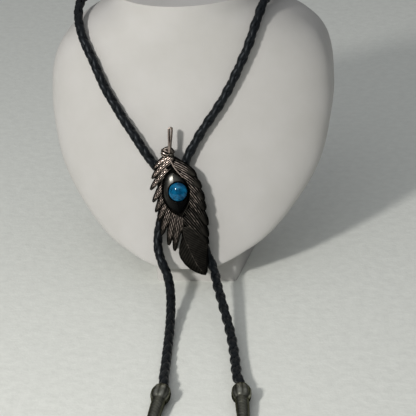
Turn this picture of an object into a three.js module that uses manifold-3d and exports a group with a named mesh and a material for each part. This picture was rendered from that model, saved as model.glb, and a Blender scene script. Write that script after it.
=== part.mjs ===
// A bolo tie with a cast feather slide, hung on a plain white neck bust.
// Millimetres, +Z up, the front towards -Y. The origin is the middle of the foot's flat underside.
import * as THREE from "three";
import { mergeVertices } from "three/addons/utils/BufferGeometryUtils.js";
import Module from "manifold-3d";

const wasm = await Module();
wasm.setup();

// Clearances
const CLEARANCE = 0.3; // between pieces that touch on the real thing

// Neck bust
const BUST_WIDTH = 158;
const BUST_HEIGHT = 139; // from the hem to the flat top of the neck
const BUST_DEPTH = 110; // from the front of the hem to the back of the neck
const HEM_HEIGHT = 12; // the chest's lower edge above the floor
const HEM_OVERHANG = 9; // how far the hem stands in front of the foot
const CHEST_OFFSET = -4; // the chest's middle line is a little to the left of the foot's
const BUST_RING_POINTS = 48;

// Foot under the bust
const FOOT_WIDTH = 44.5;
const FOOT_BACK_FLARE = 1.32; // the foot is wider behind than in front
const FOOT_DEPTH = 62;
const FOOT_LIP = 6;
const FOOT_TOP = 42; // where it ends inside the chest

// Slide: where it hangs on the chest, and how it is turned
const SLIDE_ACROSS = -5.1; // the stone's middle
const SLIDE_HEIGHT = 53.85; // of the place on the chest that the slide's middle bears on
const SLIDE_TILT = 9.5; // degrees, the quill leans to the left
const CHEST_GAP = 0.42; // between the chest and the back of the clasp

// Slide: casting
const FEATHER_LENGTH = 71;
const FEATHER_WIDTH = 28;
const PLATE_THICKNESS = 1.8;
const VANE_HEIGHT = 3.4; // of a barb at the quill, from the casting's back
const BARB_EDGE_HEIGHT = 2.2; // of a barb near its tip
const BARB_WIDTH = 5.4;
const QUILL_RADIUS = 0.95;
const QUILL_HEIGHT = 3.3; // of the quill's middle line, from the casting's back
const LEAF_HEIGHT = 3.1;
const KNOB_RADIUS = 2.5;
const WRAP_RADIUS = 1.15;

// Slide: hanging loop
const LOOP_HEIGHT = 14;
const LOOP_WIDTH = 2.3;
const LOOP_STRAP = 0.6; // thickness of the strap
const LOOP_DEPTH = 3.6; // width of the strap, front to back
const LOOP_LEAN = 12.5; // degrees to the right of the quill's line

// Slide: eye setting and stone
const EYE_WIDTH = 15.4;
const EYE_LENGTH = 25.8;
const SETTING_SHARE = 0.88; // the setting's outline as a share of the eye's
const SETTING_HEIGHT = 2.7;
const STONE_RADIUS = 5.1;
const STONE_HEIGHT = 3;
const STONE_SEAT_DEPTH = 1.1; // under the top of the setting

// Cord and clasp
const CORD_DIAMETER = 4.8;
const CORD_SIDES = 10;
const CORD_STEPS = 80;
const CLASP_HEIGHT = 7.5;
const CLASP_WALL = 0.65;
const CLASP_PLAY = 0.45; // round the cord in its channel
const CORD_SPACING = 10.5; // between the two runs in the clasp
const CLASP_OFFSET = -3.5; // the clasp is a little to the left of the stone

// Tips
const TIP_LENGTH = 46;
const BALL_DIAMETER = 9.9;
const BALL_LENGTH = 10;
const BALL_FLUTES = 8;
const FLUTE_DEPTH = 0.07; // as a share of the ball's radius
const TIP_SOCKET = 5;
const SHAFT_START_RADIUS = 3.5;
const SHAFT_END_RADIUS = 2.2;
const TIP_RING_POINTS = 32;

const degrees = THREE.MathUtils.degToRad;

// Solids
function solidOf(geometry) {
  const bare = geometry.clone();
  bare.deleteAttribute("normal");
  bare.deleteAttribute("uv");
  const merged = mergeVertices(bare, 1e-4);
  return new wasm.Manifold(
    new wasm.Mesh({
      numProp: 3,
      vertProperties: merged.attributes.position.array,
      triVerts: new Uint32Array(merged.index.array),
    }),
  );
}

function geometryOf(solid) {
  const mesh = solid.getMesh();
  const geometry = new THREE.BufferGeometry();
  geometry.setAttribute("position", new THREE.BufferAttribute(new Float32Array(mesh.vertProperties), 3));
  geometry.setIndex(new THREE.BufferAttribute(new Uint32Array(mesh.triVerts), 1));
  geometry.computeVertexNormals();
  return geometry;
}

function joined(geometries) {
  return geometries.map(solidOf).reduce((whole, piece) => whole.add(piece));
}

// A closed skin over rings of points, each ring counter-clockwise about the way it goes.
function loft(rings) {
  const count = rings[0].length;
  const points = rings.flat();
  const middle = (ring) => ring.reduce((sum, p) => sum.add(p), new THREE.Vector3()).divideScalar(count);
  const first = points.length;
  const last = first + 1;
  const vertices = [...points, middle(rings[0]), middle(rings.at(-1))];
  const faces = [];
  for (let i = 0; i < count; i++) {
    const next = (i + 1) % count;
    for (let k = 0; k + 1 < rings.length; k++) {
      const low = k * count;
      const high = low + count;
      faces.push(low + i, low + next, high + next, low + i, high + next, high + i);
    }
    const top = (rings.length - 1) * count;
    faces.push(first, next, i, last, top + i, top + next);
  }
  const geometry = new THREE.BufferGeometry();
  geometry.setAttribute("position", new THREE.Float32BufferAttribute(vertices.flatMap((p) => p.toArray()), 3));
  geometry.setIndex(faces);
  return geometry;
}

// A level ring with its own roundness in front of and behind its widest line.
function levelRing({ z, half, front, side, back, frontPower, backPower }) {
  return Array.from({ length: BUST_RING_POINTS }, (_, i) => {
    const angle = (2 * Math.PI * i) / BUST_RING_POINTS;
    const across = Math.cos(angle);
    const along = Math.sin(angle);
    const power = 2 / (along < 0 ? frontPower : backPower);
    const reach = along < 0 ? front - side : back - side;
    return new THREE.Vector3(
      half * Math.sign(across) * Math.abs(across) ** power,
      side + reach * Math.abs(along) ** power,
      z,
    );
  });
}

// Neck bust: chest, shoulders and neck are one lofted skin.
// up is a share of BUST_HEIGHT, half of half BUST_WIDTH, and the rest of BUST_DEPTH from the hem's front.
const BUST_SECTIONS = [
  { up: 0.0, half: 0.18, front: 0.0, side: 0.01, back: 0.08, square: 2.4 },
  { up: 0.012, half: 0.24, front: 0.002, side: 0.02, back: 0.1, square: 2.4 },
  { up: 0.025, half: 0.3, front: 0.008, side: 0.033, back: 0.12, square: 2.4 },
  { up: 0.05, half: 0.4, front: 0.019, side: 0.067, back: 0.17, square: 2.4 },
  { up: 0.09, half: 0.535, front: 0.036, side: 0.12, back: 0.25, square: 2.4 },
  { up: 0.145, half: 0.655, front: 0.059, side: 0.185, back: 0.35, square: 2.4 },
  { up: 0.2, half: 0.745, front: 0.081, side: 0.242, back: 0.42, square: 2.4 },
  { up: 0.28, half: 0.856, front: 0.115, side: 0.328, back: 0.53, square: 2.5 },
  { up: 0.365, half: 0.931, front: 0.149, side: 0.395, back: 0.62, square: 2.8 },
  { up: 0.47, half: 0.977, front: 0.192, side: 0.461, back: 0.7, square: 3.6 },
  { up: 0.575, half: 1.0, front: 0.235, side: 0.52, back: 0.84, square: 5 },
  { up: 0.67, half: 0.993, front: 0.268, side: 0.555, back: 0.92, square: 5 },
  { up: 0.74, half: 0.967, front: 0.286, side: 0.586, back: 0.97, square: 5 },
  { up: 0.8, half: 0.915, front: 0.295, side: 0.614, back: 0.99, square: 4.5 },
  { up: 0.85, half: 0.83, front: 0.3, side: 0.627, back: 0.99, square: 4 },
  { up: 0.892, half: 0.735, front: 0.303, side: 0.636, back: 0.985, square: 3.2 },
  { up: 0.928, half: 0.632, front: 0.305, side: 0.645, back: 0.98, square: 2.6 },
  { up: 0.964, half: 0.545, front: 0.307, side: 0.645, back: 0.98, square: 2.2 },
  { up: 1.0, half: 0.51, front: 0.31, side: 0.645, back: 0.98, square: 2 },
];

// A point on the front of the chest, from the same sections.
const hemFront = -FOOT_DEPTH / 2 - HEM_OVERHANG;

function chestPoint(x, z) {
  const up = (z - HEM_HEIGHT) / BUST_HEIGHT;
  const above = BUST_SECTIONS.findIndex((row) => row.up > up);
  const [low, high] = [BUST_SECTIONS[above - 1], BUST_SECTIONS[above]];
  const between = (name) => THREE.MathUtils.mapLinear(up, low.up, high.up, low[name], high[name]);
  const across = (x - CHEST_OFFSET) / ((between("half") * BUST_WIDTH) / 2);
  const reach = (between("side") - between("front")) * Math.sqrt(1 - across * across);
  return new THREE.Vector3(x, hemFront + (between("side") - reach) * BUST_DEPTH, z);
}

// The foot's rings, from the floor up into the chest: half widths are shares of FOOT_WIDTH and
// depths of FOOT_DEPTH.
const FOOT_SECTIONS = [
  { z: 0, front: -0.5, frontHalf: 0.5, back: 0.5, backHalf: 0.5 * FOOT_BACK_FLARE },
  { z: FOOT_LIP, front: -0.49, frontHalf: 0.5, back: 0.48, backHalf: 0.49 * FOOT_BACK_FLARE },
  { z: HEM_HEIGHT + CLEARANCE, front: -0.44, frontHalf: 0.5, back: 0.36, backHalf: 0.42 * FOOT_BACK_FLARE },
  { z: FOOT_TOP, front: -0.33, frontHalf: 0.4, back: 0.04, backHalf: 0.4 },
];

function neckBust() {
  const skin = loft(
    BUST_SECTIONS.map((row) =>
      levelRing({
        z: HEM_HEIGHT + row.up * BUST_HEIGHT,
        half: (row.half * BUST_WIDTH) / 2,
        front: hemFront + row.front * BUST_DEPTH,
        side: hemFront + row.side * BUST_DEPTH,
        back: hemFront + row.back * BUST_DEPTH,
        frontPower: 2,
        backPower: row.square,
      }),
    ),
  );
  skin.translate(CHEST_OFFSET, 0, 0);
  const foot = loft(
    FOOT_SECTIONS.map(({ z, front, frontHalf, back, backHalf }) => [
      new THREE.Vector3(backHalf * FOOT_WIDTH, back * FOOT_DEPTH, z),
      new THREE.Vector3(-backHalf * FOOT_WIDTH, back * FOOT_DEPTH, z),
      new THREE.Vector3(-frontHalf * FOOT_WIDTH, front * FOOT_DEPTH, z),
      new THREE.Vector3(frontHalf * FOOT_WIDTH, front * FOOT_DEPTH, z),
    ]),
  );
  return geometryOf(joined([skin, foot]));
}

// Slide. It is modelled flat: x to the right, y up the quill, z out of the chest, from the stone's middle.
// Points are shares of FEATHER_WIDTH across and of FEATHER_LENGTH along.
const onFeather = (x, y, z = 0) => new THREE.Vector3(x * FEATHER_WIDTH, y * FEATHER_LENGTH, z);

// The plate's outline between the lobes, then round the leaf and up the right edge.
const PLATE_LEFT = [
  [-0.16, 0.29], [-0.28, 0.23], [-0.36, 0.155], [-0.38, 0.085], [-0.39, 0.02], [-0.385, -0.05],
  [-0.38, -0.12], [-0.37, -0.19], [-0.35, -0.25], [-0.31, -0.29], [-0.25, -0.33], [-0.2, -0.35],
  [-0.15, -0.325], [-0.1, -0.31],
];
const LEAF_LEFT = [
  [-0.07, -0.29], [-0.12, -0.36], [-0.19, -0.415], [-0.225, -0.465], [-0.215, -0.505], [-0.15, -0.56],
  [-0.07, -0.6], [0.035, -0.634], [0.14, -0.658], [0.215, -0.667],
];
const PLATE_RIGHT = [
  [0.255, -0.645], [0.295, -0.575], [0.345, -0.485], [0.375, -0.415], [0.37, -0.34], [0.36, -0.22],
  [0.38, -0.13], [0.42, 0.0], [0.39, 0.1], [0.305, 0.17], [0.17, 0.22], [0.045, 0.265],
];

// Barbs of the two vanes: root at the quill, bend and tip, with the width as a share of BARB_WIDTH.
const BARBS = [
  { root: [-0.16, 0.27], bend: [-0.32, 0.22], tip: [-0.49, 0.125], wide: 0.88 },
  { root: [-0.23, 0.185], bend: [-0.4, 0.135], tip: [-0.555, 0.04], wide: 0.8 },
  { root: [-0.3, 0.115], bend: [-0.45, 0.05], tip: [-0.55, -0.06], wide: 0.82 },
  { root: [-0.35, 0.045], bend: [-0.465, -0.03], tip: [-0.54, -0.14], wide: 0.8 },
  { root: [-0.355, -0.035], bend: [-0.46, -0.105], tip: [-0.532, -0.215], wide: 0.8 },
  { root: [-0.32, -0.09], bend: [-0.455, -0.185], tip: [-0.5, -0.32], wide: 1 },
  { root: [-0.23, -0.15], bend: [-0.375, -0.255], tip: [-0.407, -0.406], wide: 1 },
  { root: [-0.135, -0.2], bend: [-0.285, -0.3], tip: [-0.31, -0.456], wide: 1 },
  { root: [-0.07, -0.24], bend: [-0.155, -0.285], tip: [-0.2, -0.36], wide: 0.8 },
  { root: [0.0, 0.22], bend: [0.18, 0.178], tip: [0.385, 0.092], wide: 0.95 },
  { root: [0.09, 0.14], bend: [0.27, 0.085], tip: [0.443, -0.007], wide: 1 },
  { root: [0.185, 0.07], bend: [0.32, 0.0], tip: [0.45, -0.1], wide: 1 },
  { root: [0.225, 0.0], bend: [0.34, -0.08], tip: [0.435, -0.178], wide: 1 },
  { root: [0.195, -0.07], bend: [0.32, -0.155], tip: [0.428, -0.296], wide: 1 },
  { root: [0.105, -0.135], bend: [0.27, -0.24], tip: [0.393, -0.385], wide: 1.1 },
  { root: [0.005, -0.19], bend: [0.195, -0.295], tip: [0.375, -0.437], wide: 1.1 },
];

// The quill from the wrap, round the eye's right side and down the leaf as its spine.
const QUILL_POINTS = [
  [-0.055, 0.27], [-0.01, 0.2], [0.045, 0.154], [0.14, 0.097], [0.2, 0.05], [0.225, 0.0], [0.21, -0.05],
  [0.157, -0.1], [0.08, -0.145], [0.0, -0.18], [-0.05, -0.22], [-0.055, -0.27], [-0.043, -0.36],
  [-0.007, -0.425], [0.04, -0.505], [0.095, -0.576], [0.165, -0.63],
];
const LEFT_RIM_POINTS = [
  [-0.13, 0.24], [-0.225, 0.17], [-0.3, 0.1], [-0.36, 0.03], [-0.367, -0.027], [-0.335, -0.075],
  [-0.275, -0.12], [-0.155, -0.187], [-0.055, -0.215],
];

// A barb: a crowned finger that narrows to its tip and gets lower on the way out.
const BARB_SECTION = [
  [1, 0], [1, 0.55], [0.5, 0.9], [0, 1], [-0.5, 0.9], [-1, 0.55], [-1, 0],
];
const BARB_STATIONS = [
  { at: 0, wide: 1, high: 1 },
  { at: 0.35, wide: 1.04, high: 0.95 },
  { at: 0.6, wide: 0.9, high: 0.8 },
  { at: 0.82, wide: 0.64, high: 0.7 },
  { at: 1, wide: 0.14, high: 0.6 },
];

function barb({ root, bend, tip, wide }) {
  const line = new THREE.QuadraticBezierCurve3(onFeather(...root), onFeather(...bend), onFeather(...tip));
  const up = new THREE.Vector3(0, 0, 1);
  const rings = BARB_STATIONS.map((station) => {
    const place = line.getPoint(station.at);
    const sideways = new THREE.Vector3().crossVectors(up, line.getTangent(station.at)).normalize();
    const half = (station.wide * wide * BARB_WIDTH) / 2;
    const height = THREE.MathUtils.lerp(BARB_EDGE_HEIGHT, VANE_HEIGHT, station.high * 2 - 1);
    return BARB_SECTION.map(([across, high]) =>
      place.clone().addScaledVector(sideways, across * half).addScaledVector(up, high * height),
    );
  });
  return loft(rings);
}

function tube(points, radius, steps, height) {
  const path = new THREE.CatmullRomCurve3(points.map(([x, y]) => onFeather(x, y, height)));
  const section = new THREE.Shape().absarc(0, 0, radius, 0, 2 * Math.PI);
  return new THREE.ExtrudeGeometry(section, {
    extrudePath: path,
    steps,
    curveSegments: 4,
    bevelEnabled: false,
  });
}

function outline(points) {
  return new THREE.Shape(points.map(([x, y]) => new THREE.Vector2(x * FEATHER_WIDTH, y * FEATHER_LENGTH)));
}

function plate() {
  return new THREE.ExtrudeGeometry(outline([...PLATE_LEFT, ...LEAF_LEFT, ...PLATE_RIGHT]), {
    depth: PLATE_THICKNESS,
    bevelEnabled: false,
  });
}

// The leaf at the foot of the feather: a low ridge along its spine.
const LEAF_STATIONS = [
  { spine: [-0.05, -0.27], left: -0.06, right: 0.36, high: 0.95 },
  { spine: [-0.043, -0.36], left: -0.12, right: 0.37, high: 1 },
  { spine: [-0.007, -0.425], left: -0.195, right: 0.37, high: 1 },
  { spine: [0.025, -0.48], left: -0.225, right: 0.345, high: 0.97 },
  { spine: [0.065, -0.54], left: -0.175, right: 0.31, high: 0.92 },
  { spine: [0.105, -0.59], left: -0.09, right: 0.285, high: 0.86 },
  { spine: [0.16, -0.635], left: 0.05, right: 0.26, high: 0.8 },
  { spine: [0.21, -0.662], left: 0.19, right: 0.225, high: 0.72 },
];
const LEAF_EDGE = 0.55; // height at the leaf's edge, as a share of LEAF_HEIGHT

function leaf() {
  const rings = LEAF_STATIONS.map(({ spine: [x, y], left, right, high }) => {
    const top = high * LEAF_HEIGHT;
    const edge = LEAF_EDGE * top;
    return [
      onFeather(left, y, 0),
      onFeather(left, y, edge),
      onFeather((left + x) / 2, y, (edge + 2 * top) / 3),
      onFeather(x, y, top),
      onFeather((right + x) / 2, y, (edge + 2 * top) / 3),
      onFeather(right, y, edge),
      onFeather(right, y, 0),
    ].reverse();
  });
  return loft(rings);
}

// The wrap at the top: a knob and three turns that cross the quill's root.
const KNOB_PLACE = [-0.12, 0.303];
const WRAP_TURNS = [
  [[-0.2, 0.262], [-0.08, 0.285], [0.04, 0.275]],
  [[-0.22, 0.235], [-0.09, 0.258], [0.035, 0.245]],
  [[-0.2, 0.32], [-0.04, 0.335], [0.05, 0.29]],
];

function knob() {
  const ball = new THREE.SphereGeometry(KNOB_RADIUS, 14, 10);
  const place = onFeather(...KNOB_PLACE, KNOB_RADIUS);
  return ball.translate(place.x, place.y, place.z);
}

// The hanging loop: one strap bent into a narrow arch that stands on edge.
function hangingLoop() {
  const arch = (width, foot) => {
    const shape = new THREE.Path();
    shape.moveTo(-width / 2, foot);
    shape.lineTo(width / 2, foot);
    shape.absarc(0, LOOP_HEIGHT - LOOP_WIDTH / 2, width / 2, 0, Math.PI);
    return shape;
  };
  const outer = new THREE.Shape(arch(LOOP_WIDTH, 0).getPoints(5));
  outer.holes.push(new THREE.Path(arch(LOOP_WIDTH - 2 * LOOP_STRAP, LOOP_STRAP).getPoints(5)));
  const strap = new THREE.ExtrudeGeometry(outer, { depth: LOOP_DEPTH, bevelEnabled: false });
  strap.rotateZ(-degrees(LOOP_LEAN));
  const foot = onFeather(-0.04, 0.3);
  return strap.translate(foot.x, foot.y, 0);
}

// The eye: two splines that meet in a point at the top and at the bottom.
const EYE_CENTRE = { x: -0.055, y: -0.007 };
const EYE_SIDES = {
  left: [[0.01, 0.5], [-0.2, 0.44], [-0.37, 0.3], [-0.47, 0.12], [-0.5, -0.06], [-0.44, -0.2], [-0.33, -0.34], [0, -0.5]],
  right: [[0, -0.5], [0.3, -0.32], [0.44, -0.17], [0.5, 0.04], [0.45, 0.2], [0.33, 0.32], [0.01, 0.5]],
};

function eyeShape(share) {
  const centre = onFeather(EYE_CENTRE.x, EYE_CENTRE.y);
  const point = ([x, y]) =>
    new THREE.Vector2(centre.x + x * share * EYE_WIDTH, centre.y + y * share * EYE_LENGTH);
  const left = new THREE.SplineCurve(EYE_SIDES.left.map(point)).getPoints(14);
  const right = new THREE.SplineCurve(EYE_SIDES.right.map(point)).getPoints(14);
  return [...left.slice(0, -1), ...right.slice(0, -1)];
}

function featherSlide() {
  const body = joined([
    plate(),
    leaf(),
    ...BARBS.map(barb),
    tube(QUILL_POINTS, QUILL_RADIUS, 34, QUILL_HEIGHT - QUILL_RADIUS),
    tube(LEFT_RIM_POINTS, QUILL_RADIUS, 20, QUILL_HEIGHT - QUILL_RADIUS),
    ...WRAP_TURNS.map((turn) => tube(turn, WRAP_RADIUS, 8, PLATE_THICKNESS)),
    knob(),
    hangingLoop(),
  ]);
  const eye = new THREE.ExtrudeGeometry(new THREE.Shape(eyeShape(1)), {
    depth: 2 * VANE_HEIGHT,
    bevelEnabled: false,
  });
  eye.translate(0, 0, PLATE_THICKNESS);
  return geometryOf(body.subtract(solidOf(eye)));
}

// The polished almond in the eye, with a round seat for the stone.
const SETTING_RINGS = [
  { share: 1, high: 0 },
  { share: 1, high: 0.25 },
  { share: 0.9, high: 0.55 },
  { share: 0.72, high: 0.8 },
  { share: 0.45, high: 0.95 },
  { share: 0.15, high: 1 },
];
const settingBase = PLATE_THICKNESS + CLEARANCE;
const stoneSeat = settingBase + SETTING_HEIGHT - STONE_SEAT_DEPTH;

function eyeSetting() {
  const rings = SETTING_RINGS.map(({ share, high }) =>
    eyeShape(SETTING_SHARE * share).map(
      (p) => new THREE.Vector3(p.x, p.y, settingBase + high * SETTING_HEIGHT),
    ),
  );
  const seat = new THREE.CylinderGeometry(STONE_RADIUS + CLEARANCE, STONE_RADIUS + CLEARANCE, SETTING_HEIGHT, 32);
  seat.rotateX(Math.PI / 2);
  seat.translate(0, 0, stoneSeat + SETTING_HEIGHT / 2);
  return geometryOf(solidOf(loft(rings)).subtract(solidOf(seat)));
}

// The stone: a round cabochon with a short straight girdle.
const STONE_GIRDLE = 0.22; // as a share of its height

function stone() {
  const base = stoneSeat + CLEARANCE;
  const profile = [new THREE.Vector2(0, 0), new THREE.Vector2(STONE_RADIUS, 0)];
  for (let i = 0; i <= 7; i++) {
    const angle = (i / 7) * (Math.PI / 2);
    const height = STONE_HEIGHT * (STONE_GIRDLE + (1 - STONE_GIRDLE) * Math.sin(angle));
    profile.push(new THREE.Vector2(i === 7 ? 0 : STONE_RADIUS * Math.cos(angle), height));
  }
  const cabochon = new THREE.LatheGeometry(profile, 24);
  cabochon.rotateX(Math.PI / 2);
  return cabochon.translate(0, 0, base);
}

// The clasp behind the casting: a plain block with a channel for each run of the cord. It stays plumb
// where the feather leans.
const channelRadius = CORD_DIAMETER / 2 + CLASP_PLAY;
const claspDepth = 2 * (channelRadius + CLASP_WALL);
const claspWidth = CORD_SPACING + claspDepth;
const channelPlace = -CLEARANCE - claspDepth / 2;

function cordClasp() {
  const block = new THREE.BoxGeometry(claspWidth, CLASP_HEIGHT, claspDepth);
  let solid = solidOf(block.translate(0, 0, channelPlace));
  for (const side of [-1, 1]) {
    const channel = new THREE.CylinderGeometry(channelRadius, channelRadius, 2 * CLASP_HEIGHT, 24);
    channel.translate((side * CORD_SPACING) / 2, 0, channelPlace);
    solid = solid.subtract(solidOf(channel));
  }
  return geometryOf(solid).rotateZ(-degrees(SLIDE_TILT)).translate(CLASP_OFFSET, 0, 0);
}

// Cord: the points of its middle line as it lies, from the left tip's socket up over the bust, round
// the back of the neck and down to the right tip's socket.
const CORD_ROUTE = [
  [1.91, -158.3, 5.04], [2.12, -150.62, 5.57], [0.9, -144, 5], [-0.7, -131, 3.2], [-2.4, -116, 2.6],
  [-3.9, -101, 3.1], [-5.3, -87, 4.9], [-6.9, -74, 7.8], [-8.9, -62.5, 12.2], [-11.7, -54, 16.4],
  [-15.4, -47.3, 20.3], [-17.7, -42.4, 25.4], [-17.9, -38.5, 32], [-16.5, -35.6, 39],
  [-13.8, -31.6, 50.2], [-13.8, -30.2, 54.5], [-13.8, -29.1, 58], [-14.4, -27.9, 61.5],
  [-16.3, -26.9, 64.9], [-19, -25.9, 68], [-22.3, -24.5, 71.8], [-26.6, -22.4, 78], [-31.5, -19.3, 84.8],
  [-36.9, -15.2, 91.5], [-41.8, -11.8, 98.8], [-46.4, -8.8, 106.1], [-50, -5.9, 113.6],
  [-53.5, -2.5, 120.9], [-57.8, 2.3, 128.2], [-61.4, 9, 135.1], [-63.9, 19, 140.5], [-64.6, 32, 143.4],
  [-62.4, 46, 143], [-57.3, 59.2, 138.6], [-47.2, 70.2, 133.6], [-29, 74.6, 128.4], [-4, 75.5, 126.5],
  [18.5, 75, 130], [34.5, 69.4, 137], [43.8, 57.5, 142.8], [45.6, 42, 146], [43.6, 27, 147.6],
  [40.4, 13, 147.2], [38.2, 5.4, 142], [35.8, -0.9, 136], [33.3, -4.9, 129.2], [29.9, -7.6, 121.9],
  [26.2, -9.9, 114.5], [22.2, -12, 107], [17.6, -14.6, 99.5], [12.2, -17.5, 92.2], [6.9, -20.1, 85],
  [2.8, -22.4, 78.6], [-0.9, -24.9, 72.3], [-3, -26.7, 66.2], [-3.3, -28.7, 59.2], [-3.3, -30.2, 54.5],
  [-3.3, -31.8, 49.7], [-1.8, -33.5, 43], [1.9, -35.8, 35.5], [6.6, -39.1, 26], [10.5, -42.2, 18.4],
  [13.3, -47.8, 14.5], [15.9, -58, 13.1], [19.6, -70.4, 11.3], [22.9, -81.2, 9.2], [26.3, -92.2, 7.2],
  [29.5, -104.1, 5.6], [32.3, -116.3, 4.8], [34.9, -129.4, 4.8], [37.3, -142, 5.5],
  [39.75, -148.33, 5.57], [41.05, -155.91, 5.04],
].map((point) => new THREE.Vector3(...point));

function braidedCord() {
  const section = new THREE.Shape(
    Array.from({ length: CORD_SIDES }, (_, i) => {
      const angle = (2 * Math.PI * i) / CORD_SIDES;
      return new THREE.Vector2(Math.cos(angle), Math.sin(angle)).multiplyScalar(CORD_DIAMETER / 2);
    }),
  );
  return new THREE.ExtrudeGeometry(section, {
    extrudePath: new THREE.CatmullRomCurve3(CORD_ROUTE, false, "centripetal"),
    steps: CORD_STEPS,
    bevelEnabled: false,
  });
}

// A tip: a fluted ball with a socket for the cord, and a tapered shaft. It points along +Z from its socket.
const BALL_STATIONS = [
  { at: 0, wide: 0.64, flute: 0 },
  { at: 0.12, wide: 0.76, flute: 0.4 },
  { at: 0.3, wide: 0.92, flute: 1 },
  { at: 0.5, wide: 1, flute: 1 },
  { at: 0.7, wide: 0.95, flute: 1 },
  { at: 0.88, wide: 0.82, flute: 0.5 },
];

function tipRing(height, radius, flute) {
  return Array.from({ length: TIP_RING_POINTS }, (_, i) => {
    const angle = (2 * Math.PI * i) / TIP_RING_POINTS;
    const reach = radius * (1 - flute * FLUTE_DEPTH * (0.5 - 0.5 * Math.cos(BALL_FLUTES * angle)));
    return new THREE.Vector3(reach * Math.cos(angle), reach * Math.sin(angle), height);
  });
}

const socketRadius = CORD_DIAMETER / 2 + CLEARANCE;

function cordTip() {
  const rings = BALL_STATIONS.map(({ at, wide, flute }) =>
    tipRing(at * BALL_LENGTH, (wide * BALL_DIAMETER) / 2, flute),
  );
  rings.push(tipRing(BALL_LENGTH, SHAFT_START_RADIUS, 0));
  rings.push(tipRing(TIP_LENGTH - SHAFT_END_RADIUS / 2, SHAFT_END_RADIUS, 0));
  rings.push(tipRing(TIP_LENGTH, SHAFT_END_RADIUS / 2, 0));
  const socket = new THREE.CylinderGeometry(socketRadius, socketRadius, 2 * TIP_SOCKET, 20);
  socket.rotateX(Math.PI / 2);
  return geometryOf(solidOf(loft(rings)).subtract(solidOf(socket)));
}

// A tip sits over the end of the cord, in line with it.
function onCordEnd(tip, end, before) {
  const axis = end.clone().sub(before).normalize();
  tip.quaternion.setFromUnitVectors(new THREE.Vector3(0, 0, 1), axis);
  tip.position.copy(end).addScaledVector(axis, CLEARANCE - TIP_SOCKET);
  return tip;
}

// Materials
const finish = (color, roughness, metalness) => new THREE.MeshStandardMaterial({ color, roughness, metalness });
const whitePlastic = finish(0xd9d7d3, 0.6, 0);
const antiquePewter = finish(0x4a4743, 0.45, 1);
const polishedPewter = finish(0x6f6d69, 0.15, 1);
const turquoise = finish(0x1f7aa8, 0.25, 0);
const blackLeather = finish(0x1a1b1f, 0.55, 0);

function piece(name, geometry, material) {
  const mesh = new THREE.Mesh(geometry, material);
  mesh.name = name;
  return mesh;
}

const boloTie = new THREE.Group();
boloTie.add(piece("neck_bust", neckBust(), whitePlastic));

const slide = new THREE.Group();
slide.add(piece("feather_slide", featherSlide(), antiquePewter));
slide.add(piece("eye_setting", eyeSetting(), polishedPewter));
slide.add(piece("turquoise_stone", stone(), turquoise));
slide.add(piece("cord_clasp", cordClasp(), antiquePewter));

// The slide leans as the chest does behind it, and its clasp just clears the chest.
const below = chestPoint(SLIDE_ACROSS, SLIDE_HEIGHT - FEATHER_LENGTH / 4);
const above = chestPoint(SLIDE_ACROSS, SLIDE_HEIGHT + FEATHER_LENGTH / 4);
const lean = Math.atan2(above.y - below.y, above.z - below.z);
slide.rotation.set(Math.PI / 2 - lean, 0, degrees(SLIDE_TILT));
slide.position
  .copy(chestPoint(SLIDE_ACROSS, SLIDE_HEIGHT))
  .addScaledVector(new THREE.Vector3(0, -Math.cos(lean), Math.sin(lean)), CLEARANCE + claspDepth + CHEST_GAP);
boloTie.add(slide);

const [firstEnd, afterFirst] = CORD_ROUTE;
const lastEnd = CORD_ROUTE.at(-1);
const beforeLast = CORD_ROUTE.at(-2);
boloTie.add(piece("braided_cord", braidedCord(), blackLeather));
boloTie.add(onCordEnd(piece("tip_left", cordTip(), antiquePewter), firstEnd, afterFirst));
boloTie.add(onCordEnd(piece("tip_right", cordTip(), antiquePewter), lastEnd, beforeLast));

export default boloTie;
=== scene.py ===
# %% [markdown]
# # A bolo tie on a white neck bust
# A bolo tie is a braided cord with a metal tip at each end, worn round the neck and closed by a slide
# that runs up and down on it. This one hangs on a small shop bust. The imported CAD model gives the
# place of every piece, and this script dresses it: each cell builds one piece or one finish, and
# says why it is made that way. All lengths in the tables are millimetres, and the scene is in metres.

# %% Load the frame
import math
from bisect import bisect_right
from math import cos, pi, sin

import bmesh
import bpy
from mathutils import Matrix, Vector


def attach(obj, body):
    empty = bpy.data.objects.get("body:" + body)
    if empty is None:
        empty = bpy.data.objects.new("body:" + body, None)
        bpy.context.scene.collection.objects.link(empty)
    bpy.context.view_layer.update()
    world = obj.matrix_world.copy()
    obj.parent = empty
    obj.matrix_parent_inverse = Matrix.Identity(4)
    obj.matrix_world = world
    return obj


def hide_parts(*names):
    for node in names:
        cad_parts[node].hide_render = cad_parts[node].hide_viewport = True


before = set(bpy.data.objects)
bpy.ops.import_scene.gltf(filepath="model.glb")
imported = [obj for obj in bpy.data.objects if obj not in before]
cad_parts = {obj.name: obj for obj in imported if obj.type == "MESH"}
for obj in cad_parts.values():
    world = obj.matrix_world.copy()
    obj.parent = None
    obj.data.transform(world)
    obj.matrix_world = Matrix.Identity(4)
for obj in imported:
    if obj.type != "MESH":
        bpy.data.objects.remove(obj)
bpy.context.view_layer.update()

MM = 0.001
print("CAD nodes:", sorted(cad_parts))

# %% [markdown]
# ## The camera
# The photographer stood a little to the right of the bust and looked down on it by 25 degrees, with
# a long lens, so parallel lines hardly converge. The camera was also rolled a few degrees. It is
# simplest to write its three axes down from those angles and put them in a matrix.

# %% Camera
VIEW_RIGHT_OF_FRONT = math.radians(10)
VIEW_DOWN = math.radians(25)
VIEW_ROLL = math.radians(4.2)
CAMERA_PLACE = Vector((153.14, -846.54, 430.90)) * MM
FOCAL_PIXELS = 1683
PHOTO_PIXELS = 416


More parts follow.
